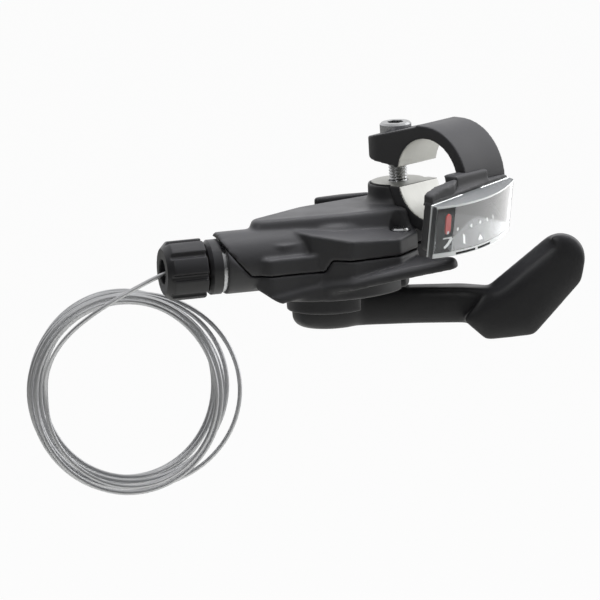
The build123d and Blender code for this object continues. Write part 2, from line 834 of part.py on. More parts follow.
with BuildPart() as drive_pawl_pin:
    with BuildSketch(level(lever_plate_bottom)):
        with Locations(drive_pin):
            Circle(drive_pin_radius)
    extrude(amount=spool_bottom - lever_plate_bottom - part_gap)
drive_pawl_pin.part.label = "drive_pawl_pin"

with BuildPart() as drive_pawl:
    with BuildSketch(level(drive_bottom)):
        with Locations(drive_pin):
            Circle(drive_eye_radius)
        with Locations(drive_tip):
            Circle(0.4)
        make_hull()
        with Locations(drive_pin):
            Circle(drive_pin_radius + running_gap, mode=Mode.SUBTRACT)
    extrude(amount=ratchet_thickness - part_gap)
drive_pawl.part.label = "drive_pawl"

# Hold pawl under the base plate, with a lug that the release trigger's tail pushes
pawl_tip = around(pivot, ratchet_tip + part_gap + 0.5, -3)
lug = (-20.6, 6.5)
with BuildPart() as hold_pawl:
    with BuildSketch(level(spool_top)):
        with Locations(pawl_pin):
            Circle(pawl_eye_radius)
        with Locations(pawl_tip):
            Circle(0.45)
        make_hull()
    with BuildSketch(level(spool_top)):
        with Locations(pawl_pin):
            Circle(pawl_eye_radius)
        with Locations(lug):
            Circle(0.7)
        make_hull()
    extrude(amount=ratchet_thickness)
    with BuildSketch(level(spool_top)):
        with Locations(pawl_pin):
            Circle(pawl_pin_radius + running_gap)
    extrude(amount=ratchet_thickness, mode=Mode.SUBTRACT)
hold_pawl.part.label = "hold_pawl"

with BuildPart() as hold_pawl_pin:
    with BuildSketch(level(spool_top - part_gap)):
        with Locations(pawl_pin):
            Circle(pawl_pin_radius)
    extrude(amount=plate_top - spool_top + part_gap)
    with BuildSketch(level(spool_top - part_gap)):
        with Locations(pawl_pin):
            Circle(pawl_pin_radius + 0.7)
    extrude(amount=-0.6)
hold_pawl_pin.part.label = "hold_pawl_pin"

# Release trigger: flat arm on its pin, out through the back wall to an upright finger blade
blade_top = -8.2
tail_end = (-22.5, 6.2)
with BuildPart() as release_trigger:
    with BuildSketch(level(spool_top)):
        with Locations(trigger_pin):
            Circle(pawl_eye_radius)
        with Locations(tail_end):
            Circle(0.6)
        make_hull()
    with BuildSketch(level(spool_top)):
        with Locations(trigger_pin):
            Circle(pawl_eye_radius)
        with Locations((-28, 23.4)):
            Circle(2.4)
        make_hull()
    extrude(amount=ratchet_thickness)
    with BuildSketch(level(spool_top)):
        with Locations((-34.5, 22.0), (-21.5, 25.6)):
            Circle(1.2)
        with Locations((-28, 24.4)):
            Circle(1.5)
        make_hull()
    extrude(amount=blade_top - spool_top)
    fillet(release_trigger.faces().sort_by(Axis.Z)[-1].edges(), radius=0.8)
    with BuildSketch(level(spool_top)):
        with Locations(trigger_pin):
            Circle(pawl_pin_radius + running_gap)
    extrude(amount=ratchet_thickness, mode=Mode.SUBTRACT)
release_trigger.part.label = "release_trigger"

with BuildPart() as trigger_pin_rivet:
    with BuildSketch(level(spool_top - part_gap)):
        with Locations(trigger_pin):
            Circle(pawl_pin_radius)
    extrude(amount=plate_top - spool_top + part_gap)
    with BuildSketch(level(spool_top - part_gap)):
        with Locations(trigger_pin):
            Circle(pawl_pin_radius + 0.7)
    extrude(amount=-0.6)
trigger_pin_rivet.part.label = "trigger_pin"

# Barrel adjuster at the snout: seat ring, collar, threaded stem and lobed knob
stem_radius = neck_radius - wall
stem_end = knob_end - socket_depth - 1
with BuildPart() as adjuster_seat_ring:
    with BuildSketch(barrel):
        Circle(seat_ring_radius)
        Circle(stem_radius + running_gap, mode=Mode.SUBTRACT)
    extrude(amount=seat_ring_width)
adjuster_seat_ring.part.label = "adjuster_seat_ring"

with BuildPart() as adjuster_collar:
    with BuildSketch(barrel.offset(seat_ring_width)):
        Circle(collar_ring_radius)
        Circle(stem_radius + running_gap, mode=Mode.SUBTRACT)
    extrude(amount=collar_ring_width)
    rim = adjuster_collar.edges().filter_by(GeomType.CIRCLE).group_by(SortBy.RADIUS)[-1]
    chamfer(rim.sort_by(barrel_axis)[-1], length=0.9)
adjuster_collar.part.label = "adjuster_collar"

with BuildPart() as adjuster_stem:
    with BuildSketch(barrel.offset(-socket_depth)):
        Circle(stem_radius)
        Circle(2 * cable_radius, mode=Mode.SUBTRACT)
    extrude(amount=socket_depth + stem_end)
adjuster_stem.part.label = "adjuster_stem"

with BuildPart() as barrel_adjuster:
    with BuildSketch(barrel.offset(knob_start)):
        Circle(knob_radius)
    extrude(amount=knob_end - knob_start)
    chamfer(barrel_adjuster.edges().sort_by(barrel_axis)[-1], length=knob_chamfer)
    with BuildSketch(barrel.offset(knob_start)):
        with PolarLocations(knob_radius, knob_grooves, start_angle=groove_turn):
            Circle(groove_radius)
    extrude(amount=knob_end - knob_start, mode=Mode.SUBTRACT)
    with BuildSketch(barrel.offset(seat_ring_width + collar_ring_width + part_gap)):
        Circle(neck_radius)
    extrude(amount=knob_start)
    with BuildSketch(barrel):
        Circle(stem_radius + seat_gap)
    extrude(amount=stem_end, mode=Mode.SUBTRACT)
    with BuildSketch(barrel):
        Circle(2 * cable_radius)
    extrude(amount=deep, mode=Mode.SUBTRACT)
    with BuildSketch(barrel.offset(knob_end)):
        Circle(socket_radius)
    extrude(amount=-socket_depth, mode=Mode.SUBTRACT)
barrel_adjuster.part.label = "barrel_adjuster"

# Gear indicator on the back of the clamp ring
tilt = tan(radians(dial_tilt))
dial_turn = radians(dial_yaw)
lean = radians(dial_lean)
dial = Plane(
    origin=(dial_centre_x, -ring_radius - dial_stand_off, dial_centre_z),
    x_dir=(cos(dial_turn), sin(dial_turn), tilt),
    z_dir=(sin(dial_turn) * cos(lean), -cos(dial_turn) * cos(lean), -sin(lean)),
)
dial_plan = Plane(origin=dial.origin, x_dir=dial.x_dir, z_dir=-dial.y_dir)
base_rim = 0.5
with BuildPart() as indicator_base:
    with BuildSketch(dial.offset(-base_depth)):
        RectangleRounded(dial_length + 2 * base_rim, dial_height + 2 * base_rim, 2)
    extrude(amount=base_depth)
    with BuildSketch(dial.offset(-2 * base_depth)):
        with Locations((-dial_centre_x, 0)):
            Rectangle(clamp_width + 2, dial_height)
    extrude(amount=base_depth)
    with BuildSketch(Plane.XY.offset(tab_bottom)):
        with Locations((tab_middle, -ring_radius - tab_depth)):
            Rectangle(tab_width, tab_depth + clamp_wall, align=(Align.CENTER, Align.MIN))
    extrude(amount=tab_height)
    split(bisect_by=dial, keep=Keep.BOTTOM)
    with BuildSketch(Plane.YZ):
        Circle(ring_radius + seat_gap)
    extrude(amount=clamp_width / 2 + seat_gap, both=True, mode=Mode.SUBTRACT)
    with BuildSketch(Plane.YZ):
        Circle(bar_radius + bar_gap)
    extrude(amount=deep, both=True, mode=Mode.SUBTRACT)
indicator_base.part.label = "indicator_base"

with BuildPart() as indicator_dial:
    with BuildSketch(dial):
        RectangleRounded(dial_length - 2 * lens_wall - 2 * seat_gap, dial_height - 2 * lens_wall - 2 * seat_gap, 1)
    extrude(amount=dial_thickness)
indicator_dial.part.label = "indicator_dial"

needle_start = needle_inset - dial_length / 2
with BuildPart() as indicator_needle:
    with BuildSketch(dial.offset(dial_thickness + part_gap / 2)):
        with Locations((needle_start, needle_rise)):
            RectangleRounded(needle_width, needle_height, 0.48 * needle_width)
    extrude(amount=needle_thickness)
indicator_needle.part.label = "indicator_needle"

with BuildPart() as indicator_lens:
    with BuildSketch(dial_plan):
        with BuildLine():
            Polyline((dial_length / 2, lens_end_depth), (dial_length / 2, 0), (-dial_length / 2, 0),
                     (-dial_length / 2, lens_end_depth))
            ThreePointArc((-dial_length / 2, lens_end_depth), (0, lens_mid_depth), (dial_length / 2, lens_end_depth))
        make_face()
    extrude(amount=dial_height / 2, both=True)
    fillet(indicator_lens.edges().filter_by(lambda edge: abs(edge.tangent_at(0.5).dot(dial.y_dir)) > 0.9), radius=0.8)
    with BuildSketch(dial):
        RectangleRounded(dial_length - 2 * lens_wall, dial_height - 2 * lens_wall, 1)
    extrude(amount=lens_end_depth - lens_front, mode=Mode.SUBTRACT)
indicator_lens.part.label = "indicator_lens"

# Inner cable outside the shifter: the lead from the adjuster's socket and the loose coil
coil_centre = (-85.9, -54)
coil_front = 3.4
exit_reach = knob_end - socket_depth
lead_points = [
    (mouth_a + run_a * exit_reach, mouth_b + run_b * exit_reach, cable_height),
    (mouth_a + run_a * (exit_reach + 3), mouth_b + run_b * (exit_reach + 3), cable_height),
    (-78.3, -14.5, -20.5), (-84.4, -15.4, -23.2), (-90.8, -15.2, -26.5), (-97, -14.2, -30.4),
    (-102.4, -12.2, -34.8), (-106.7, -9.6, -40), (-109.4, -6.6, -46), (-110.3, -coil_front, -52),
]


def bend_radii(points):
    """Largest tangent arc at each inner point that its two runs leave room for."""
    radii = []
    for before, here, after in zip(points, points[1:], points[2:]):
        come = Vector(*here) - Vector(*before)
        go = Vector(*after) - Vector(*here)
        radii.append(0.45 * min(come.length, go.length) / tan(radians(come.get_angle(go)) / 2))
    return radii


lead_radii = bend_radii(lead_points)
print("cable lead radii:", [round(r, 1) for r in lead_radii])
with BuildPart() as cable_lead:
    with BuildLine() as lead_line:
        FilletPolyline(*[world(*point) for point in lead_points], radius=lead_radii)
    with BuildSketch(Plane(origin=lead_line.line @ 0, z_dir=lead_line.line % 0)):
        Circle(cable_radius)
    sweep()
cable_lead.part.label = "cable_lead"
print("cable lead volume over section times length:",
      round(cable_lead.part.volume / (pi * cable_radius ** 2 * lead_line.wire().length), 4))

with BuildPart() as cable_coil:
    with BuildSketch(side.offset(coil_front)):
        with Locations(coil_centre):
            Ellipse(coil_half_width, coil_half_height)
            Ellipse(coil_hole_half_width, coil_hole_half_height, mode=Mode.SUBTRACT)
    extrude(amount=-coil_depth)
cable_coil.part.label = "cable_coil"

pieces = [clamp_bracket, clamp_bolt, upper_cover, lower_housing, cover_screw, base_plate, bracket_screw,
          pivot_axle, axle_washer, axle_nut, cable_spool, ratchet_wheel, drive_ratchet, winder_spring, cable_end,
          cable_run, thumb_lever, lever_spring, lever_plate, drive_pawl_pin, drive_pawl, hold_pawl, hold_pawl_pin,
          release_trigger, trigger_pin_rivet, adjuster_seat_ring, adjuster_collar, adjuster_stem, barrel_adjuster,
          indicator_base, indicator_dial, indicator_needle, indicator_lens, cable_lead, cable_coil]
for piece in pieces:
    print(piece.part.label, piece.part.is_valid, len(piece.part.solids()), round(piece.part.volume))

os.makedirs("parts", exist_ok=True)
for piece in pieces:
    export_step(piece.part, f"parts/{piece.part.label}.step")
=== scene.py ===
import json
from math import cos, pi, radians, sin, sqrt, tan

import bmesh
import bpy
from mathutils import Matrix, Vector

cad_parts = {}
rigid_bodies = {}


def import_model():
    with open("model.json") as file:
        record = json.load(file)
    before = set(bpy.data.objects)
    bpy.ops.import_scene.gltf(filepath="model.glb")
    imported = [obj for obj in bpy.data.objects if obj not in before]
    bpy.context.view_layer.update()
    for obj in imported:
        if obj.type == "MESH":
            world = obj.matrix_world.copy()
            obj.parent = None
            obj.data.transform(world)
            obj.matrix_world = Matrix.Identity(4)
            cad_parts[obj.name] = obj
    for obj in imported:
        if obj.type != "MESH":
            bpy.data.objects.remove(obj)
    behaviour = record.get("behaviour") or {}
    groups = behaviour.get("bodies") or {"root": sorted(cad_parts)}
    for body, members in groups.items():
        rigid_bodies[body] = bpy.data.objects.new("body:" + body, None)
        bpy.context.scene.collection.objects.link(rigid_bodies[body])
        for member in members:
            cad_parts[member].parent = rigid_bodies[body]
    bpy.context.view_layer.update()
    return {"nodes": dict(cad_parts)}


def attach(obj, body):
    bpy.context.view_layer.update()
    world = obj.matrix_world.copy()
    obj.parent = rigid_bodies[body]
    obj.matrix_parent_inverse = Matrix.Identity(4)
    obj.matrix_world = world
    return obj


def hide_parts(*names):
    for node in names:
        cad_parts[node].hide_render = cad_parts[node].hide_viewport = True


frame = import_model()
nodes = frame["nodes"]

bl_info = {
    "name": "Trigger gear shifter",
    "version": (1, 0, 0),
    "blender": (4, 5, 0),
    "location": "View3D > Sidebar > Shifter",
    "description": "Dresses the packed solids of a trigger gear shifter with finishes and fine pieces",
    "category": "Object",
}

mm = 0.001
root_body = "root"

# Directions of the casing, which lies at 45 degrees to the handlebar
outboard_back = Vector((1, -1, 0)) / sqrt(2)
outboard_ahead = Vector((1, 1, 0)) / sqrt(2)
casing_turn = radians(45)


def casing_point(a, b, z):
    """Point in metres from the casing's own directions and a height, in millimetres."""
    return (outboard_back * a + outboard_ahead * b + Vector((0, 0, z))) * mm


class CableSizes(bpy.types.PropertyGroup):
    """Sizes of the inner cable."""

    diameter: bpy.props.FloatProperty(
        name="Diameter", description="Thickness of the stranded inner cable",
        default=1.2 * mm, unit="LENGTH", precision=5)
    turn_points: bpy.props.IntProperty(
        name="Points per turn", description="Control points in each turn of the coil", default=16, min=12)
    pitch: bpy.props.FloatProperty(
        name="Turn spacing", description="Depth from one turn of the coil to the next",
        default=1.24 * mm, unit="LENGTH", precision=5)


class IndicatorSizes(bpy.types.PropertyGroup):
    """Sizes of the gear indicator's lens and of the marks on its dial."""

    length: bpy.props.FloatProperty(
        name="Length", description="Length of the lens along the dial",
        default=33.0 * mm, unit="LENGTH", precision=5)
    height: bpy.props.FloatProperty(
        name="Height", description="Height of the lens", default=14.7 * mm, unit="LENGTH", precision=5)
    # The lens's lip and edges are painted white, a painted highlight for the light that clear plastic gathers
    # there
    lip: bpy.props.FloatProperty(
        name="Lip", description="Height of the thick lip along the foot of the lens",
        default=1.2 * mm, unit="LENGTH", precision=5)
    edge: bpy.props.FloatProperty(
        name="Edge", description="Width of the bright edges of the lens",
        default=0.55 * mm, unit="LENGTH", precision=5)
    end_depth: bpy.props.FloatProperty(
        name="End depth", description="How far the lens stands out at its two ends",
        default=2.0 * mm, unit="LENGTH", precision=5)
    mid_depth: bpy.props.FloatProperty(
        name="Middle depth", description="How far the lens stands out in its middle",
        default=5.6 * mm, unit="LENGTH", precision=5)
    wall: bpy.props.FloatProperty(
        name="Wall", description="Thickness of the lens", default=0.8 * mm, unit="LENGTH", precision=5)
    dot: bpy.props.FloatProperty(
        name="Dot", description="Diameter of a gear dot on the dial",
        default=0.9 * mm, unit="LENGTH", precision=5)
    stroke: bpy.props.FloatProperty(
        name="Stroke", description="Width of a printed line on the dial",
        default=0.4 * mm, unit="LENGTH", precision=5)


class BoltSizes(bpy.types.PropertyGroup):
    """Sizes of the clamp bolt."""

    pitch: bpy.props.FloatProperty(
        name="Thread pitch", description="Rise of the bolt's thread in one turn",
        default=0.8 * mm, unit="LENGTH", precision=5)
    thread_depth: bpy.props.FloatProperty(
        name="Thread depth", description="Height of the bolt's thread",
        default=0.28 * mm, unit="LENGTH", precision=5)
    head_radius: bpy.props.FloatProperty(
        name="Head radius", description="Radius of the socket head",
        default=4.25 * mm, unit="LENGTH", precision=5)
    socket_width: bpy.props.FloatProperty(
        name="Socket width", description="Width of the socket across its flats",
        default=4.0 * mm, unit="LENGTH", precision=5)


class MouldingSizes(bpy.types.PropertyGroup):
    """How soft the edges of the moulded and forged pieces are."""

    grid: bpy.props.FloatProperty(
        name="Grid", description="Spacing of the even mesh laid over a moulding",
        default=0.4 * mm, unit="LENGTH", precision=5)
    lever_grid: bpy.props.FloatProperty(
        name="Lever grid", description="Spacing of the even mesh laid over the thumb lever",
        default=0.5 * mm, unit="LENGTH", precision=5)
    bracket_grid: bpy.props.FloatProperty(
        name="Bracket grid", description="Spacing of the even mesh laid over the forged bracket",
        default=0.28 * mm, unit="LENGTH", precision=5)
    passes: bpy.props.IntProperty(
        name="Passes", description="Rounds of smoothing on a small moulding's edges", default=5, min=0)
    casing_passes: bpy.props.IntProperty(
        name="Casing passes", description="Rounds of smoothing on the casing's edges", default=12, min=0)
    lever_passes: bpy.props.IntProperty(
        name="Lever passes", description="Rounds of smoothing on the thumb lever's edges", default=24, min=0)
    lever_flow: bpy.props.IntProperty(
        name="Lever flow", description="Rounds of smoothing of the thumb lever's thickness alone",
        default=140, min=0)


class FinishColours(bpy.types.PropertyGroup):
    """Colours of the finishes, as sRGB hex values."""

    casing: bpy.props.StringProperty(
        name="Casing", description="Black of the moulded casing", default="#303032")
    lever: bpy.props.StringProperty(
        name="Lever", description="Black of the thumb lever and the trigger", default="#202022")
    knob: bpy.props.StringProperty(
        name="Knob", description="Black of the barrel adjuster", default="#222224")
    bracket: bpy.props.StringProperty(
        name="Bracket", description="Black of the coated clamp bracket", default="#2C2C2E")
    bright: bpy.props.StringProperty(
        name="Bright metal", description="Colour of bored aluminium", default="#D2D2CE")
    steel: bpy.props.StringProperty(
        name="Steel", description="Colour of zinc plated steel", default="#C6C7C9")
    cable: bpy.props.StringProperty(
        name="Cable", description="Colour of the drawn cable wire", default="#D2D3D5")
    stamped: bpy.props.StringProperty(
        name="Stamped steel", description="Colour of the steel pieces inside", default="#8E8F92")
    spool: bpy.props.StringProperty(
        name="Spool", description="Grey of the cable spool", default="#3A3A3A")
    stem: bpy.props.StringProperty(
        name="Stem", description="Colour of the adjuster's plated stem", default="#B8B5AC")
    lens: bpy.props.StringProperty(
        name="Lens", description="Tint of the lens's clear front", default="#D2D6D8")
    # The grey of the lens's walls is a painted reflection of the studio at a low angle, laid over their satin
    # roughness
    lens_wall_reflection: bpy.props.StringProperty(
        name="Lens wall", description="Grey of the lens's satin walls", default="#4C4E50")
    # The white of the lens's edges is a painted highlight for the light that its clear edges gather
    lens_edge_highlight: bpy.props.StringProperty(
        name="Lens edge", description="White of the lens's thick edges", default="#CCCFCF")
    card: bpy.props.StringProperty(
        name="Card", description="Black of the dial", default="#0B0C0D")
    needle: bpy.props.StringProperty(
        name="Needle", description="Red of the gear needle", default="#D8382C")
    ink: bpy.props.StringProperty(
        name="Ink", description="White of the printed marks", default="#E6E6E4")
    paper: bpy.props.StringProperty(
        name="Paper", description="Colour of the background paper as it lights the object", default="#9C9C9A")


class StageSettings(bpy.types.PropertyGroup):
    """Camera and light of the stage."""

    azimuth: bpy.props.FloatProperty(
        name="Azimuth", description="Direction the camera stands in, round the object",
        default=radians(-45), subtype="ANGLE")
    elevation: bpy.props.FloatProperty(
        name="Elevation", description="Height of the camera as an angle",
        default=radians(11), subtype="ANGLE")
    roll: bpy.props.FloatProperty(
        name="Roll", description="Turn of the picture about its middle", default=radians(3), subtype="ANGLE")
    distance: bpy.props.FloatProperty(
        name="Distance", description="Distance from the camera to the object", default=5.0, unit="LENGTH")
    field: bpy.props.FloatProperty(
        name="Field", description="Width of the picture at the object", default=160.4 * mm, unit="LENGTH")
    aim: bpy.props.FloatVectorProperty(
        name="Aim", description="Point in the middle of the picture",
        default=(-33.1 * mm, 24.7 * mm, -30.6 * mm), subtype="TRANSLATION")
    back_light: bpy.props.FloatProperty(
        name="Back light", description="Brightness of the studio behind and beside the object", default=0.8)
    front_light: bpy.props.FloatProperty(
        name="Front light", description="Brightness of the studio where the camera stands", default=0.07)


def linear(hex_colour):
    """Linear colour of an sRGB hex value."""
    parts = [int(hex_colour[i:i + 2], 16) / 255 for i in (1, 3, 5)]
    return [c / 12.92 if c <= 0.04045 else ((c + 0.055) / 1.055) ** 2.4 for c in parts] + [1.0]


def add_node(tree, kind, values=None, links=None, **settings):
    """Adds a node with its settings, socket values and links."""
    node = tree.nodes.new(kind)
    for name, value in settings.items():
        setattr(node, name, value)
    for name, value in (values or {}).items():
        node.inputs[name].default_value = value
    for name, source in (links or {}).items():
        tree.links.new(source, node.inputs[name])
    return node


# Refraction of nylon and acetal, which serves for an anodised layer too, and of polycarbonate
moulding_ior = 1.53
polycarbonate_ior = 1.585
# Sizes of the patches in which a sheen changes
mould_flow = 9 * mm
small_flow = 2 * mm
lens_flow = 1.5 * mm
# Middle part of a noise's values, which holds nearly all of it
noise_band = (0.3, 0.7)


def new_material(name, colour):
    """Node material of one colour, and its shader."""
    material = bpy.data.materials.new(name)
    material.use_nodes = True
    shader = material.node_tree.nodes["Principled BSDF"]
    shader.inputs["Base Color"].default_value = linear(colour)
    return material, shader


def object_place(tree):
    """Place on the object in metres."""
    return add_node(tree, "ShaderNodeTexCoord").outputs["Object"]


def uneven_sheen(tree, shader, place, size, detail, smooth, rough, band=(0.0, 1.0)):
    """Varies the roughness over patches of a real size, and gives the noise that does it."""
    patches = add_node(tree, "ShaderNodeTexNoise", {"Scale": 1 / size, "Detail": detail}, {"Vector": place})
    sheen = add_node(tree, "ShaderNodeMapRange",
                     {"From Min": band[0], "From Max": band[1], "To Min": smooth, "To Max": rough},
                     {"Value": patches.outputs["Fac"]})
    tree.links.new(sheen.outputs["Result"], shader.inputs["Roughness"])
    return patches.outputs["Fac"]


def moulded(name, colour, roughness, grain, depth):
    """Moulded plastic or a dull layer: a fine grain, and flow that makes the sheen uneven."""
    spread = 0.06
    material, shader = new_material(name, colour)
    tree = material.node_tree
    shader.inputs["IOR"].default_value = moulding_ior
    place = object_place(tree)
    uneven_sheen(tree, shader, place, mould_flow, 3.0, roughness - spread, roughness + spread, noise_band)
    # The real grain is well under 0.1 mm and too fine to show, so each finish has a coarser one
    pits = add_node(tree, "ShaderNodeTexNoise", {"Scale": 1 / grain, "Detail": 2.0}, {"Vector": place})
    bump = add_node(tree, "ShaderNodeBump", {"Strength": 0.35, "Distance": depth},
                    {"Height": pits.outputs["Fac"]})
    tree.links.new(bump.outputs["Normal"], shader.inputs["Normal"])
    return material


def metal(name, colour, roughness, size, depth, stretch=(1, 1, 1)):
    """Bare or plated metal with fine marks from its making, stretched along the tool's path."""
    smoother = 0.06
    rougher = 0.08
    material, shader = new_material(name, colour)
    tree = material.node_tree
    shader.inputs["Metallic"].default_value = 1.0
    # The real marks are too fine to show, so they are drawn coarser
    along = add_node(tree, "ShaderNodeMapping", {"Scale": stretch}, {"Vector": object_place(tree)})
    marks = uneven_sheen(tree, shader, along.outputs["Vector"], size, 3.0, roughness - smoother,
                         roughness + rougher, noise_band)
    bump = add_node(tree, "ShaderNodeBump", {"Strength": 0.3, "Distance": depth}, {"Height": marks})
    tree.links.new(bump.outputs["Normal"], shader.inputs["Normal"])
    return material


def plain(name, colour, roughness, metallic=0.0):
    """Small or hidden piece with one even finish and a little unevenness in its sheen."""
    spread = 0.08
    material, shader = new_material(name, colour)
    tree = material.node_tree
    shader.inputs["Metallic"].default_value = metallic
    uneven_sheen(tree, shader, object_place(tree), small_flow, 2.0, roughness - spread, roughness + spread)
    return material


def clear_polycarbonate(colours):
    """Clear moulded polycarbonate: see-through, with a smooth polished face."""
    material, shader = new_material("polycarbonate_clear_moulded", colours.lens)
    shader.inputs["Transmission Weight"].default_value = 1.0
    shader.inputs["IOR"].default_value = polycarbonate_ior
    shader.inputs["Roughness"].default_value = 0.02
    return material


def satin_reflection_polycarbonate(colours):
    """Walls of the lens: half clear, with an uneven satin roughness, and grey as a painted reflection of the
    studio at a low angle.
    """
    material, shader = new_material("polycarbonate_satin_painted_reflection", colours.lens_wall_reflection)
    tree = material.node_tree
    shader.inputs["Transmission Weight"].default_value = 0.35
    shader.inputs["IOR"].default_value = polycarbonate_ior
    uneven_sheen(tree, shader, object_place(tree), lens_flow, 2.0, 0.25, 0.45)
    return material


def painted_highlight_polycarbonate(colours):
    """Thick edges of the lens, painted white as a painted highlight for the light that clear edges gather."""
    return plain("polycarbonate_edge_painted_highlight", colours.lens_edge_highlight, 0.24)


def stranded_steel(colours):
    """Drawn steel wire laid into a cable: bright, with the dark twist of its strands along it."""
    # A strand is about 0.24 mm wide and too fine to show, so the twist is drawn twice as coarse
    strand = 0.5 * mm
    material, shader = new_material("steel_wire_drawn_and_stranded", colours.cable)
    tree = material.node_tree
    shader.inputs["Metallic"].default_value = 1.0
    shader.inputs["Roughness"].default_value = 0.34
    strands = add_node(tree, "ShaderNodeTexNoise", {"Scale": 1 / strand, "Detail": 1.0},
                       {"Vector": object_place(tree)})
    bump = add_node(tree, "ShaderNodeBump", {"Strength": 0.15, "Distance": 0.04 * mm},
                    {"Height": strands.outputs["Fac"]})
    tree.links.new(bump.outputs["Normal"], shader.inputs["Normal"])
    return material


def seen_directly(tree):
    """One for what the camera sees, straight or through a clear piece, and zero for other rays."""
    path = add_node(tree, "ShaderNodeLightPath")
    seen = add_node(tree, "ShaderNodeMath", None,
                    {0: path.outputs["Is Camera Ray"], 1: path.outputs["Is Transmission Ray"]},
                    operation="MAXIMUM")
    return seen.outputs["Value"]


def pale_paper(colours):
    """White background paper: plain and matt, white where the camera looks at it and lit elsewhere."""
    whiteness = 0.96
    material, shader = new_material("background_paper_matt", colours.paper)
    tree = material.node_tree
    shader.inputs["Roughness"].default_value = 0.9
    glow = add_node(tree, "ShaderNodeEmission", {"Color": (1, 1, 1, 1), "Strength": 1.0})
    share = add_node(tree, "ShaderNodeMapRange", {"To Min": 0.0, "To Max": whiteness},
                     {"Value": seen_directly(tree)})
    mixed = add_node(tree, "ShaderNodeMixShader", None,
                     {0: share.outputs["Result"], 1: shader.outputs["BSDF"], 2: glow.outputs["Emission"]})
    tree.links.new(mixed.outputs["Shader"], tree.nodes["Material Output"].inputs["Surface"])
    return material


def dress(node, *materials):
    """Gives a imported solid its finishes."""
    slots = nodes[node].data.materials
    slots.clear()
    for material in materials:
        slots.append(material)


def new_piece(name, data, body, replaced=(), materials=()):
    """Links a new piece, gives it its finishes and lets it ride on a body."""
    piece = bpy.data.objects.new(name, data)
    bpy.context.scene.collection.objects.link(piece)
    if materials:
        piece.data.materials.clear()
    for material in materials:
        piece.data.materials.append(material)
    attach(piece, body)
    if replaced:
        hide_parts(*replaced)
    return piece


def evaluated(draft, name):
    """Mesh of a draft object with its modifiers applied; the draft goes."""
    bpy.context.scene.collection.objects.link(draft)
    graph = bpy.context.evaluated_depsgraph_get()
    mesh = bpy.data.meshes.new_from_object(draft.evaluated_get(graph))
    mesh.name = name
    bpy.data.objects.remove(draft)
    return mesh


def soft_mesh(mesh, name, grid, passes, flow=0):
    """Mesh with the same form, its edges rounded as a mould or a forge leaves them."""
    half_way = 0.5
    # Turned so that the casing's depth lies along X, where the thickness alone can be smoothed
    mesh.transform(Matrix.Rotation(-casing_turn, 4, "Z"))
    draft = bpy.data.objects.new(name, mesh)
    even = draft.modifiers.new("even", "REMESH")
    even.mode = "VOXEL"
    even.voxel_size = grid
    soft = draft.modifiers.new("soft", "SMOOTH")
    soft.factor = half_way
    soft.iterations = passes
    if flow:
        thin = draft.modifiers.new("flow", "SMOOTH")
        thin.factor = half_way
        thin.iterations = flow
        thin.use_y = False
        thin.use_z = False
    made = evaluated(draft, name)
    made.transform(Matrix.Rotation(casing_turn, 4, "Z"))
    made.shade_smooth()
    return made


def softened(node, name, grid, passes, body, slot, *materials, flow=0):
    """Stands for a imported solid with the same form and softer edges."""
    mesh = soft_mesh(nodes[node].data.copy(), name, grid, passes, flow)
    return new_piece(name, mesh, body, (node,), materials)


def mesh_of(made, name):
    """Mesh of a finished bmesh, which goes."""
    mesh = bpy.data.meshes.new(name)
    made.to_mesh(mesh)
    made.free()
    return mesh


def ring_mesh(name, rings):
    """Closed mesh over a row of rings with equally many points."""
    made = bmesh.new()
    rows = [[made.verts.new(point) for point in ring] for ring in rings]
    for low, high in zip(rows, rows[1:]):
        for i in range(len(low)):
            j = (i + 1) % len(low)
            made.faces.new((low[i], low[j], high[j], high[i]))
    made.faces.new(list(reversed(rows[0])))
    made.faces.new(rows[-1])
    bmesh.ops.recalc_face_normals(made, faces=made.faces)
    return mesh_of(made, name)


def smooth_rings(name, rings):
    """Closed mesh over a row of rings, smooth but for its sharp edges."""
    mesh = ring_mesh(name, rings)
    mesh.shade_smooth()
    mesh.set_sharp_from_angle(angle=radians(40))
    return mesh


# Floor and camera of the stage, in metres, with the camera's sensor in millimetres
floor_half = 12.0
floor_height = -0.4
sensor_width = 36.0
view_end = 50.0
# The studio is dimmest behind the camera, toward its left and below it by these shares
dim_left = 0.5
dim_down = 0.6
# Cosines of the angle from there between which the studio goes from bright to dim
dim_range = (-0.4, 0.6)
# Softboxes: name, place, width and height in metres, and power in watts
softboxes = (
    ("top_softbox", (0.2, 0.0, 0.9), 0.6, 0.5, 32.0),
    ("right_softbox", (0.85, -0.4, 0.25), 1.2, 1.2, 3.6),
    ("left_softbox", (-0.8, -0.2, 0.5), 0.4, 0.6, 1.0),
    ("low_softbox", (0.377, -0.127, -0.222), 0.68, 0.3, 1.9),
)


def view_directions(settings):
    """Right, up and back of the picture."""
    a = settings.azimuth
    e = settings.elevation
    back = Vector((sin(a) * cos(e), -cos(a) * cos(e), sin(e)))
    level_right = Vector((cos(a), sin(a), 0))
    level_up = back.cross(level_right)
    right = level_right * cos(settings.roll) - level_up * sin(settings.roll)
    up = level_right * sin(settings.roll) + level_up * cos(settings.roll)
    return right, up, back


def set_camera(scene, settings):
    """Puts the camera far off, so that the view is nearly flat."""
    right, up, back = view_directions(settings)
    camera = bpy.data.cameras.new("camera")
    camera.sensor_width = sensor_width
    camera.lens = camera.sensor_width * settings.distance / settings.field
    camera.clip_end = view_end
    eye = bpy.data.objects.new("camera", camera)
    scene.collection.objects.link(eye)
    turn = Matrix((right, up, back)).transposed().to_4x4()
    eye.matrix_world = Matrix.Translation(Vector(settings.aim) + back * settings.distance) @ turn
    scene.camera = eye


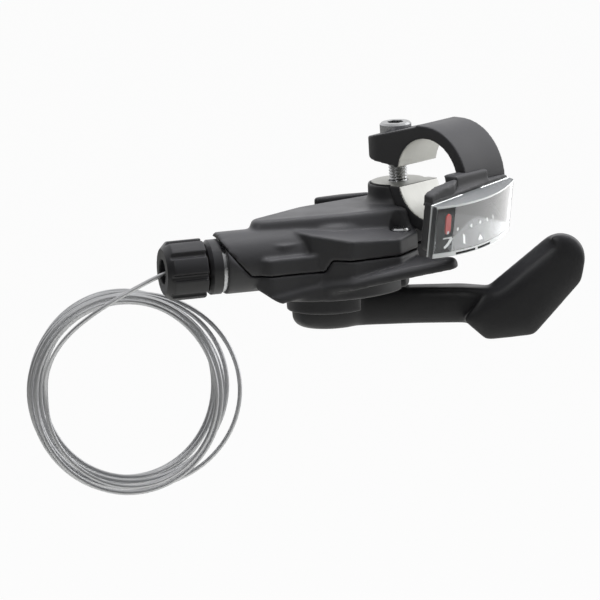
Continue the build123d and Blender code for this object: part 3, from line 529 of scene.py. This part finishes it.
def set_floor(scene):
    """Lays the background paper well below the object."""
    sides = ((-1, -1), (1, -1), (1, 1), (-1, 1))
    corners = [(x * floor_half, y * floor_half, floor_height) for x, y in sides]
    floor_mesh = bpy.data.meshes.new("floor")
    floor_mesh.from_pydata(corners, [], [(0, 1, 2, 3)])
    floor = bpy.data.objects.new("floor", floor_mesh)
    scene.collection.objects.link(floor)
    floor_mesh.materials.append(pale_paper(scene.shifter_colours))


def set_studio(scene, settings):
    """Lights the scene from a white room that is dim at the lower left, where the camera stands."""
    right, up, back = view_directions(settings)
    world = bpy.data.worlds.new("studio")
    scene.world = world
    world.use_nodes = True
    tree = world.node_tree
    backdrop = tree.nodes["Background"]
    backdrop.inputs["Color"].default_value = (1, 1, 1, 1)
    look = add_node(tree, "ShaderNodeTexCoord").outputs["Generated"]
    dim_side = (back - right * dim_left - up * dim_down).normalized()
    facing = add_node(tree, "ShaderNodeVectorMath", {1: dim_side}, {0: look}, operation="DOT_PRODUCT")
    studio = add_node(tree, "ShaderNodeMapRange",
                      {"From Min": dim_range[0], "From Max": dim_range[1], "To Min": settings.back_light,
                       "To Max": settings.front_light}, {"Value": facing.outputs["Value"]})
    level = add_node(tree, "ShaderNodeMapRange", {"To Max": 1.0},
                     {"Value": seen_directly(tree), "To Min": studio.outputs["Result"]})
    tree.links.new(level.outputs["Result"], backdrop.inputs["Strength"])


def set_softboxes(scene, settings):
    """Hangs the softboxes, each aimed at the middle of the picture."""
    for name, place, width, height, power in softboxes:
        lamp = bpy.data.lights.new(name, "AREA")
        lamp.shape = "RECTANGLE"
        lamp.size = width
        lamp.size_y = height
        lamp.energy = power
        holder = bpy.data.objects.new(name, lamp)
        scene.collection.objects.link(holder)
        holder.location = place
        aim = Vector(settings.aim) - Vector(place)
        holder.rotation_mode = "QUATERNION"
        holder.rotation_quaternion = aim.to_track_quat("-Z", "Y")
        # The light from above leaves no highlight of its own
        holder.visible_glossy = name != "top_softbox"
        # The low light serves the indicator's lens, its print and its needle alone
        if name == "low_softbox":
            holder.light_linking.receiver_collection = bpy.data.collections.new("lens_light")


class SHIFTER_OT_stage(bpy.types.Operator):
    """Sets the camera, the floor and the soft light"""

    bl_idname = "shifter.stage"
    bl_label = "Stage"

    def execute(self, context):
        scene = context.scene
        settings = scene.shifter_stage
        scene.view_settings.view_transform = "Standard"
        set_camera(scene, settings)
        set_floor(scene)
        set_studio(scene, settings)
        set_softboxes(scene, settings)
        return {"FINISHED"}


# Route of the cable's lead as the solids have it, in the casing's directions and heights, in millimetres
lead_route = [
    (-71.350, -12.741, -19.4), (-74.261, -13.467, -19.4), (-78.3, -14.5, -20.5), (-84.4, -15.4, -23.2),
    (-90.8, -15.2, -26.5), (-97, -14.2, -30.4), (-102.4, -12.2, -34.8), (-106.7, -9.6, -40),
    (-109.4, -6.6, -46), (-110.3, -3.4, -52),
]
# Middle of the coil, along the casing and in height, in millimetres
coil_middle = (-85.9, -54.7)
# Reach of each loose turn to the left, right, top and bottom of the coil's middle, in millimetres
coil_turns = [
    (-24.9, 21.4, 24.6, -24.9), (-27.5, 22.5, 26.6, -27.2), (-28.8, 23.9, 27.4, -28.0),
    (-27.3, 20.4, 25.1, -25.7), (-29.4, 25.6, 27.6, -27.5), (-26.2, 19.9, 24.0, -24.4),
    (-29.4, 29.4, 27.4, -27.6), (-27.9, 27.2, 26.4, -26.4), (-25.4, 20.6, 24.6, -23.8),
    (-29.2, 23.1, 27.2, -27.4), (-26.9, 19.8, 25.5, -24.6), (-28.6, 22.3, 27.0, -26.8),
    (-25.8, 21.2, 24.4, -25.1),
]
# Direction in degrees in which the lead joins the coil, and the number of turns
coil_start = 175.0
coil_count = 11.7


class SHIFTER_OT_cable(bpy.types.Operator):
    """Makes the bare inner cable with its lead and its loose coil"""

    bl_idname = "shifter.cable"
    bl_label = "Inner cable"

    def execute(self, context):
        sizes = context.scene.shifter_cable
        points = [casing_point(*point) for point in lead_route]
        front = lead_route[-1][1]
        for step in range(1, int(coil_count * sizes.turn_points)):
            turn = step / sizes.turn_points
            whole = int(turn)
            share = turn - whole
            left, right, top, bottom = (
                near + (far - near) * share for near, far in zip(coil_turns[whole], coil_turns[whole + 1]))
            angle = radians(coil_start + 360 * turn)
            reach_a = (right - left) / 2
            reach_z = (top - bottom) / 2
            points.append(casing_point(
                coil_middle[0] + (right + left) / 2 + reach_a * cos(angle),
                front + turn * sizes.pitch / mm,
                coil_middle[1] + (top + bottom) / 2 + reach_z * sin(angle)))
        line = bpy.data.curves.new("inner_cable", "CURVE")
        line.dimensions = "3D"
        line.bevel_depth = sizes.diameter / 2
        line.bevel_resolution = 3
        line.resolution_u = 6
        line.use_fill_caps = True
        spline = line.splines.new("NURBS")
        spline.points.add(len(points) - 1)
        for control, point in zip(spline.points, points):
            control.co = (*point, 1)
        spline.order_u = 3
        spline.use_endpoint_u = True
        steel = stranded_steel(context.scene.shifter_colours)
        cable = new_piece("inner_cable", line, root_body, ("cable_lead", "cable_coil"),
                          (steel,))
        return {"FINISHED"}


# Sizes of the solids that the clamp's pieces follow
bar_radius = 11.1 * mm
slit_bottom = -2.8 * mm
slit_top = 2.4 * mm
slit_slope = 1.1 / 9.8
bolt_offset = 18.2 * mm
bolt_seat = 8.0 * mm
bolt_length = 18.0 * mm
bolt_radius = 2.5 * mm
head_height = 5.0 * mm
socket_depth = 2.6 * mm
# Rounding of the bolt's head, and how finely its mesh is cut
head_round = 0.5 * mm
bolt_sides = 48
rings_per_pitch = 8
# Faces this near to the bore or the slit are bare metal, in the slit only where they lie nearly level
bore_reach = 0.1 * mm
slit_reach = 0.15 * mm
nearly_level = 0.8


class SHIFTER_OT_clamp(bpy.types.Operator):
    """Makes the clamp bracket with its rounded edges and the threaded clamp bolt"""

    bl_idname = "shifter.clamp"
    bl_label = "Handlebar clamp"

    def execute(self, context):
        colours = context.scene.shifter_colours
        moulding = context.scene.shifter_moulding
        # Anodised aluminium shows as a dull even black with a soft sheen over the rounded ring
        coated = moulded("aluminium_black_anodised", colours.bracket, 0.42, 0.6 * mm, 0.02 * mm)
        # Bored aluminium is bright, with fine lines round the bore from the cutting tool
        round_the_bore = (1, 0.08, 0.08)
        bored = metal("aluminium_bored_bright", colours.bright, 0.42, 0.35 * mm, 0.004 * mm, round_the_bore)
        bracket = softened("clamp_bracket", "clamp_bracket_forged", moulding.bracket_grid, moulding.passes,
                           root_body, "coated_aluminium", coated, bored)
        for face in bracket.data.polygons:
            middle = face.center
            in_bore = sqrt(middle.y ** 2 + middle.z ** 2) < bar_radius + bore_reach
            ear_face = slit_top + max(0, middle.y - bar_radius) * slit_slope
            near_slit = min(abs(middle.z - slit_bottom), abs(middle.z - ear_face)) < slit_reach
            on_slit = near_slit and middle.y > 0 and abs(face.normal.z) > nearly_level
            face.material_index = 1 if in_bore or on_slit else 0
        # Zinc plating is a cool bright grey with a soft reflection
        plated = metal("steel_zinc_plated", colours.steel, 0.22, 0.8 * mm, 0.003 * mm)
        bolt = self.bolt(context.scene.shifter_bolt)
        new_piece("clamp_bolt_threaded", bolt, root_body, ("clamp_bolt",), (plated,))
        dress("cover_screw", plated)
        dress("adjuster_seat_ring", plated)
        return {"FINISHED"}

    def bolt(self, sizes):
        """Mesh of a socket cap screw with its thread turned in rings."""
        angles = [2 * pi * i / bolt_sides for i in range(bolt_sides)]
        ring_step = sizes.pitch / rings_per_pitch
        low = bolt_seat - bolt_length
        top = bolt_seat + head_height
        sixth = pi / 3

        def ring(level, radii):
            return [(radius * cos(angle), bolt_offset + radius * sin(angle), level)
                    for radius, angle in zip(radii, angles)]

        def thread_radius(height, angle):
            phase = (height / sizes.pitch - angle / (2 * pi)) % 1
            fade = min(1, (height - low) / sizes.pitch)
            return bolt_radius - sizes.thread_depth * (1 - fade * (1 - abs(2 * phase - 1)))

        rings = []
        height = low
        while height < bolt_seat - ring_step:
            rings.append(ring(height, [thread_radius(height, angle) for angle in angles]))
            height += ring_step
        for radius, level in ((bolt_radius, bolt_seat), (sizes.head_radius, bolt_seat),
                              (sizes.head_radius, top - head_round), (sizes.head_radius - head_round, top)):
            rings.append(ring(level, [radius] * bolt_sides))
        socket_radii = [sizes.socket_width / 2 / cos((angle % sixth) - sixth / 2) for angle in angles]
        for level in (top, top - socket_depth):
            rings.append(ring(level, socket_radii))
        return smooth_rings("clamp_bolt_threaded", rings)


class SHIFTER_OT_casing(bpy.types.Operator):
    """Makes the two casing halves, the lever, the trigger and the adjuster with their moulded edges"""

    bl_idname = "shifter.casing"
    bl_label = "Casing and lever"

    def execute(self, context):
        colours = context.scene.shifter_colours
        moulding = context.scene.shifter_moulding
        grid = moulding.grid
        passes = moulding.passes
        slot = "black_moulding"
        # Glass filled nylon from an eroded mould has a fine grain and a soft grey sheen
        nylon = moulded("nylon_glass_filled_moulded", colours.casing, 0.42, 0.5 * mm, 0.05 * mm)
        for node in ("upper_cover", "lower_housing", "indicator_base"):
            softened(node, node + "_moulded", grid, moulding.casing_passes, root_body, slot, nylon)
        # Nylon from a polished mould is smoother, with longer highlights along its edges
        polished = moulded("nylon_polished_mould", colours.lever, 0.36, 0.8 * mm, 0.03 * mm)
        lever = softened("thumb_lever", "thumb_lever_moulded", moulding.lever_grid, moulding.lever_passes,
                         "lever", slot, polished, flow=moulding.lever_flow)
        # The lens mirrors the light past the lever, and not the lever itself
        lever.visible_glossy = False
        lever.visible_transmission = False
        softened("release_trigger", "release_trigger_moulded", grid, passes, "trigger", slot, polished)
        # Acetal is darker and waxy, with a tighter highlight
        acetal = moulded("acetal_moulded", colours.knob, 0.34, 0.7 * mm, 0.03 * mm)
        # The knob's grooves are narrow, so its mesh is twice as fine
        softened("barrel_adjuster", "barrel_adjuster_moulded", grid / 2, passes, "barrel", slot, acetal)
        dress("adjuster_collar", acetal)
        return {"FINISHED"}


class SHIFTER_OT_mechanism(bpy.types.Operator):
    """Finishes the steel, brass and nylon pieces inside the casing"""

    bl_idname = "shifter.mechanism"
    bl_label = "Mechanism"

    def execute(self, context):
        colours = context.scene.shifter_colours
        # Stamped steel keeps a dull rolled face
        stamped = metal("steel_stamped", colours.stamped, 0.38, 0.6 * mm, 0.01 * mm)
        for node in ("base_plate", "bracket_screw", "pivot_axle", "axle_washer", "axle_nut", "ratchet_wheel",
                     "drive_ratchet", "winder_spring", "lever_spring", "lever_plate", "drive_pawl_pin",
                     "drive_pawl", "hold_pawl", "hold_pawl_pin", "trigger_pin"):
            dress(node, stamped)
        # Grey nylon is dull, with a broad faint highlight
        dress("cable_spool", plain("nylon_grey_moulded", colours.spool, 0.5))
        # Nickel plating on brass is a warm bright grey
        dress("adjuster_stem", plain("brass_nickel_plated", colours.stem, 0.3, 1.0))
        steel = bpy.data.materials["steel_wire_drawn_and_stranded"]
        dress("cable_end", steel)
        dress("cable_run", steel)
        return {"FINISHED"}


# Frame of the gear indicator: its middle, and how far it turns, leans and tilts
dial_middle = Vector((-8.4, -15.6, -7.4)) * mm
dial_yaw = radians(6.0)
dial_lean = radians(12.5)
dial_tilt = radians(3.3)
dial_out = Vector((sin(dial_yaw) * cos(dial_lean), -cos(dial_yaw) * cos(dial_lean), -sin(dial_lean)))
dial_level = Vector((cos(dial_yaw), sin(dial_yaw), tan(dial_tilt)))
dial_along = (dial_level - dial_out * dial_level.dot(dial_out)).normalized()
dial_up = dial_out.cross(dial_along)

# Marks on the dial and its apron, in millimetres along and up from the dial's middle
numeral_lines = [((-11.1, -4.4), (-7.35, -4.95)), ((-7.4, -4.95), (-12.1, -6.25))]
tick_line = ((-2.65, -5.2), (-4.8, -6.35))
gear_dots = [(-4.8, -3.5), (1.3, -4.2), (5.35, -4.4), (8.6, -4.5), (11.4, -4.6)]
arrow = [(2.85, -5.9), (0.55, -6.55), (2.4, -6.65)]
needle_dot_place = (-9.8, -2.85)
# Depths of the dial's face and the needle's dot, and how far the print stands off what it lies on
dial_face = 0.52 * mm
needle_dot_depth = 1.07 * mm
print_lift = 0.06 * mm
line_spans = 8
dot_sides = 20

# The dial's foot curls forward to the lens as an apron
apron_top = -4.9 * mm
apron_foot = -7.3 * mm
apron_thickness = 0.3 * mm
apron_columns = 40
# Room between the apron and the lens's front and ends, in walls of the lens
apron_front_room = 1.25
apron_end_room = 1.2

# The lens's middle lies a little inboard of the dial's and below it
lens_shift = -0.3 * mm
lens_drop = -0.85 * mm
lens_back = 0.02 * mm
lens_round = 0.3 * mm
lens_columns = 66
# Two notches in the lens's lip are painted the dial's black as painted shade, between these shares of its
# height, and a break in its upper edge
shaded_lip_notches = ((-9.9 * mm, -2.8 * mm), (-1.6 * mm, 3.6 * mm))
lip_notch_top = 0.75
lip_notch_foot = 0.2
edge_break = (-4.0 * mm, 4.0 * mm)

# The base's shoulder beside its tab: along the dial, height of its top and depth of its front, in millimetres
shoulder_line = (
    (-16.2, 8.2, -0.1), (-15.4, 8.8, -0.1), (-12.0, 9.7, -0.1), (-6.5, 9.9, -0.1), (-3.4, 9.9, -1.8),
)
shoulder_foot = 5.2 * mm
shoulder_bend = 6.5 * mm
shoulder_back = -3.2 * mm
shoulder_lean = 0.4 * mm


def dial_point(along, up, out):
    """Point in metres from the dial's own directions, in metres."""
    return dial_middle + dial_along * along + dial_up * up + dial_out * out


def lens_front(sizes, along):
    """How far the lens's bowed front stands out at a place along it."""
    half = sizes.length / 2
    bow = sizes.mid_depth - sizes.end_depth
    bow_radius = (half ** 2 + bow ** 2) / (2 * bow)
    return sizes.mid_depth - bow_radius + sqrt(bow_radius ** 2 - (along - lens_shift) ** 2)


def apron_depth(sizes, along, up):
    """How far the dial's face or its apron stands out at a place."""
    share = max(0, (apron_top - up) / (apron_top - apron_foot))
    return dial_face + share * (lens_front(sizes, along) - apron_front_room * sizes.wall - dial_face)


def round_dot(place, width):
    """Points round a dot on the dial."""
    turns = [2 * pi * i / dot_sides for i in range(dot_sides)]
    return [Vector(place) * mm + Vector((cos(t), sin(t))) * width / 2 for t in turns]


class SHIFTER_OT_indicator(bpy.types.Operator):
    """Makes the indicator's lens, its dial's apron and marks, and the shoulder of its base"""

    bl_idname = "shifter.indicator"
    bl_label = "Gear indicator"

    def execute(self, context):
        sizes = context.scene.shifter_indicator
        colours = context.scene.shifter_colours
        moulding = context.scene.shifter_moulding
        # Card printed solid black is matt, so that the lens alone shines
        card_gloss = 0.15
        card = plain("polystyrene_card_black", colours.card, 0.62)
        card.node_tree.nodes["Principled BSDF"].inputs["Specular IOR Level"].default_value = card_gloss
        dress("indicator_dial", card)
        new_piece("dial_apron", self.apron(sizes), root_body, (), (card,))
        # Red acetal is even and a little glossy
        dress("indicator_needle", plain("acetal_red_moulded", colours.needle, 0.32))
        # Screen printing ink is a flat white that the lens dims
        ink = plain("ink_white_screen_printed", colours.ink, 0.5)
        marks = new_piece("dial_marks", self.marks(sizes), root_body, (), (ink,))
        dot = new_piece("needle_dot", self.needle_dot(sizes), "needle", (), (ink,))
        finishes = (clear_polycarbonate(colours), satin_reflection_polycarbonate(colours),
                    painted_highlight_polycarbonate(colours), card)
        lens = new_piece("indicator_lens_shell", self.lens(sizes, finishes), root_body,
                         ("indicator_lens",))
        # The dial behind the lens is lit as if through clear air
        lens.visible_shadow = False
        lens.visible_diffuse = False
        lit = bpy.data.collections["lens_light"].objects
        for piece in (lens, marks, dot, nodes["indicator_needle"]):
            lit.link(piece)
        nylon = bpy.data.materials["nylon_glass_filled_moulded"]
        shoulder = soft_mesh(self.shoulder(), "indicator_shoulder", moulding.grid, moulding.passes)
        new_piece("indicator_shoulder", shoulder, root_body, (), (nylon,))
        return {"FINISHED"}

    def apron(self, sizes):
        """Mesh of the apron that curls forward from the dial's foot."""
        reach = sizes.length / 2 - apron_end_room * sizes.wall
        rings = []
        for i in range(apron_columns + 1):
            along = lens_shift + reach * (2 * i / apron_columns - 1)
            face = [(up, apron_depth(sizes, along, up)) for up in (apron_top, apron_foot)]
            back = [(up - apron_thickness, depth - apron_thickness) for up, depth in reversed(face)]
            rings.append([dial_point(along, up, depth) for up, depth in face + back])
        return ring_mesh("dial_apron", rings)

    def marks(self, sizes):
        """Mesh of the printed marks, a hair in front of the dial's face and its apron."""
        made = bmesh.new()

        def face(points):
            corners = [dial_point(x, y, apron_depth(sizes, x, y) + print_lift) for x, y in points]
            printed = made.faces.new([made.verts.new(corner) for corner in corners])
            printed.normal_update()
            if printed.normal.dot(dial_out) < 0:
                printed.normal_flip()

        for start, end in (*numeral_lines, tick_line):
            a = Vector(start) * mm
            b = Vector(end) * mm
            run = (b - a).normalized() * sizes.stroke / 2
            side = Vector((-run.y, run.x))
            for i in range(line_spans):
                near = a.lerp(b, i / line_spans)
                far = a.lerp(b, (i + 1) / line_spans)
                face([near - side, far - side, far + side, near + side])
        face([Vector(corner) * mm for corner in arrow])
        for dot in gear_dots:
            face(round_dot(dot, sizes.dot))
        return mesh_of(made, "dial_marks")

    def needle_dot(self, sizes):
        """Mesh of the white dot printed on the needle's foot."""
        made = bmesh.new()
        points = round_dot(needle_dot_place, sizes.dot)
        made.faces.new([made.verts.new(dial_point(x, y, needle_dot_depth)) for x, y in points])
        return mesh_of(made, "needle_dot")

    def shoulder(self):
        """Mesh of the base's sloping shoulder beside its tab, rough."""
        rings = []
        for along, height, depth in shoulder_line:
            top = height * mm
            front = depth * mm
            section = ((shoulder_foot, front), (shoulder_bend, front), (top, front - shoulder_lean),
                       (top, shoulder_back), (shoulder_foot, shoulder_back))
            rings.append([dial_point(along * mm, up, out) for up, out in section])
        return smooth_rings("shoulder_draft", rings)

    def lens(self, sizes, finishes):
        """Mesh of the lens: a thin shell with a bowed front, open at its back, with its edges painted white
        as a painted highlight.
        """
        half = sizes.length / 2
        top = lens_drop + sizes.height / 2
        foot = lens_drop - sizes.height / 2
        # Faces marked satin are painted grey, a painted reflection of the studio at a low angle
        clear, satin, bright, dark = range(4)
        # Rows of faces from the back of the upper wall, over the front, to the back of the lower wall
        # Rows marked bright are painted white, a painted highlight for the light gathered in the lens's edges
        # and lip
        row_finish = (bright, satin, bright, clear, bright, bright, bright, satin, bright)
        upper_edge_row = 0
        lip_notch_row = 5
        last = len(row_finish)
        made = bmesh.new()
        places = []
        rows = []
        for i in range(lens_columns + 1):
            along = lens_shift + half * (2 * i / lens_columns - 1)
            out = lens_front(sizes, along)
            profile = ((top, lens_back), (top, sizes.edge), (top, out), (top - sizes.edge, out),
                       (foot + sizes.lip, out), (foot + lip_notch_top * sizes.lip, out),
                       (foot + lip_notch_foot * sizes.lip, out), (foot, out), (foot, sizes.edge),
                       (foot, lens_back))
            places.append(along)
            rows.append([made.verts.new(dial_point(along, up, depth)) for up, depth in profile])
        for i, (left, right) in enumerate(zip(rows, rows[1:])):
            middle = (places[i] + places[i + 1]) / 2
            for k, finish in enumerate(row_finish):
                face = made.faces.new((left[k], left[k + 1], right[k + 1], right[k]))
                face.material_index = finish
                if k == upper_edge_row and edge_break[0] < middle < edge_break[1]:
                    face.material_index = satin
                # The lip's notches take the dial's black as painted shade
                if k == lip_notch_row and any(low < middle < high for low, high in shaded_lip_notches):
                    face.material_index = dark
        # Each end has a rim at its back painted white as a painted highlight, and a satin wall painted grey
        # as a painted reflection in front of it
        for end in (rows[0], rows[-1]):
            for corners, finish in (((0, 1, last - 1, last), bright), (range(1, last), satin)):
                made.faces.new([end[k] for k in corners]).material_index = finish
        bmesh.ops.recalc_face_normals(made, faces=made.faces)
        draft = bpy.data.objects.new("lens_draft", mesh_of(made, "lens_draft"))
        for material in finishes:
            draft.data.materials.append(material)
        shell = draft.modifiers.new("shell", "SOLIDIFY")
        shell.thickness = sizes.wall
        shell.offset = -1
        round_off = draft.modifiers.new("edge", "BEVEL")
        round_off.width = lens_round
        round_off.segments = 2
        round_off.limit_method = "ANGLE"
        round_off.angle_limit = radians(40)
        mesh = evaluated(draft, "indicator_lens_shell")
        mesh.shade_smooth()
        mesh.set_sharp_from_angle(angle=radians(35))
        return mesh


class SHIFTER_PT_panel(bpy.types.Panel):
    """Lists the steps that dress the shifter"""

    bl_idname = "SHIFTER_PT_panel"
    bl_label = "Trigger gear shifter"
    bl_space_type = "VIEW_3D"
    bl_region_type = "UI"
    bl_category = "Shifter"

    def draw(self, context):
        for step in steps:
            self.layout.operator(step.bl_idname)


groups = {
    "shifter_cable": CableSizes,
    "shifter_indicator": IndicatorSizes,
    "shifter_bolt": BoltSizes,
    "shifter_moulding": MouldingSizes,
    "shifter_colours": FinishColours,
    "shifter_stage": StageSettings,
}
steps = (SHIFTER_OT_stage, SHIFTER_OT_cable, SHIFTER_OT_clamp, SHIFTER_OT_casing, SHIFTER_OT_mechanism,
         SHIFTER_OT_indicator)


def register():
    for kind in (*groups.values(), *steps, SHIFTER_PT_panel):
        bpy.utils.register_class(kind)
    for name, kind in groups.items():
        setattr(bpy.types.Scene, name, bpy.props.PointerProperty(type=kind))


def unregister():
    for name in groups:
        delattr(bpy.types.Scene, name)
    for kind in reversed((*groups.values(), *steps, SHIFTER_PT_panel)):
        bpy.utils.unregister_class(kind)


def main():
    """Dresses the shifter step by step."""
    register()
    bpy.ops.shifter.stage()
    bpy.ops.shifter.cable()
    bpy.ops.shifter.clamp()
    bpy.ops.shifter.casing()
    bpy.ops.shifter.mechanism()
    bpy.ops.shifter.indicator()


if __name__ == "__main__":
    main()
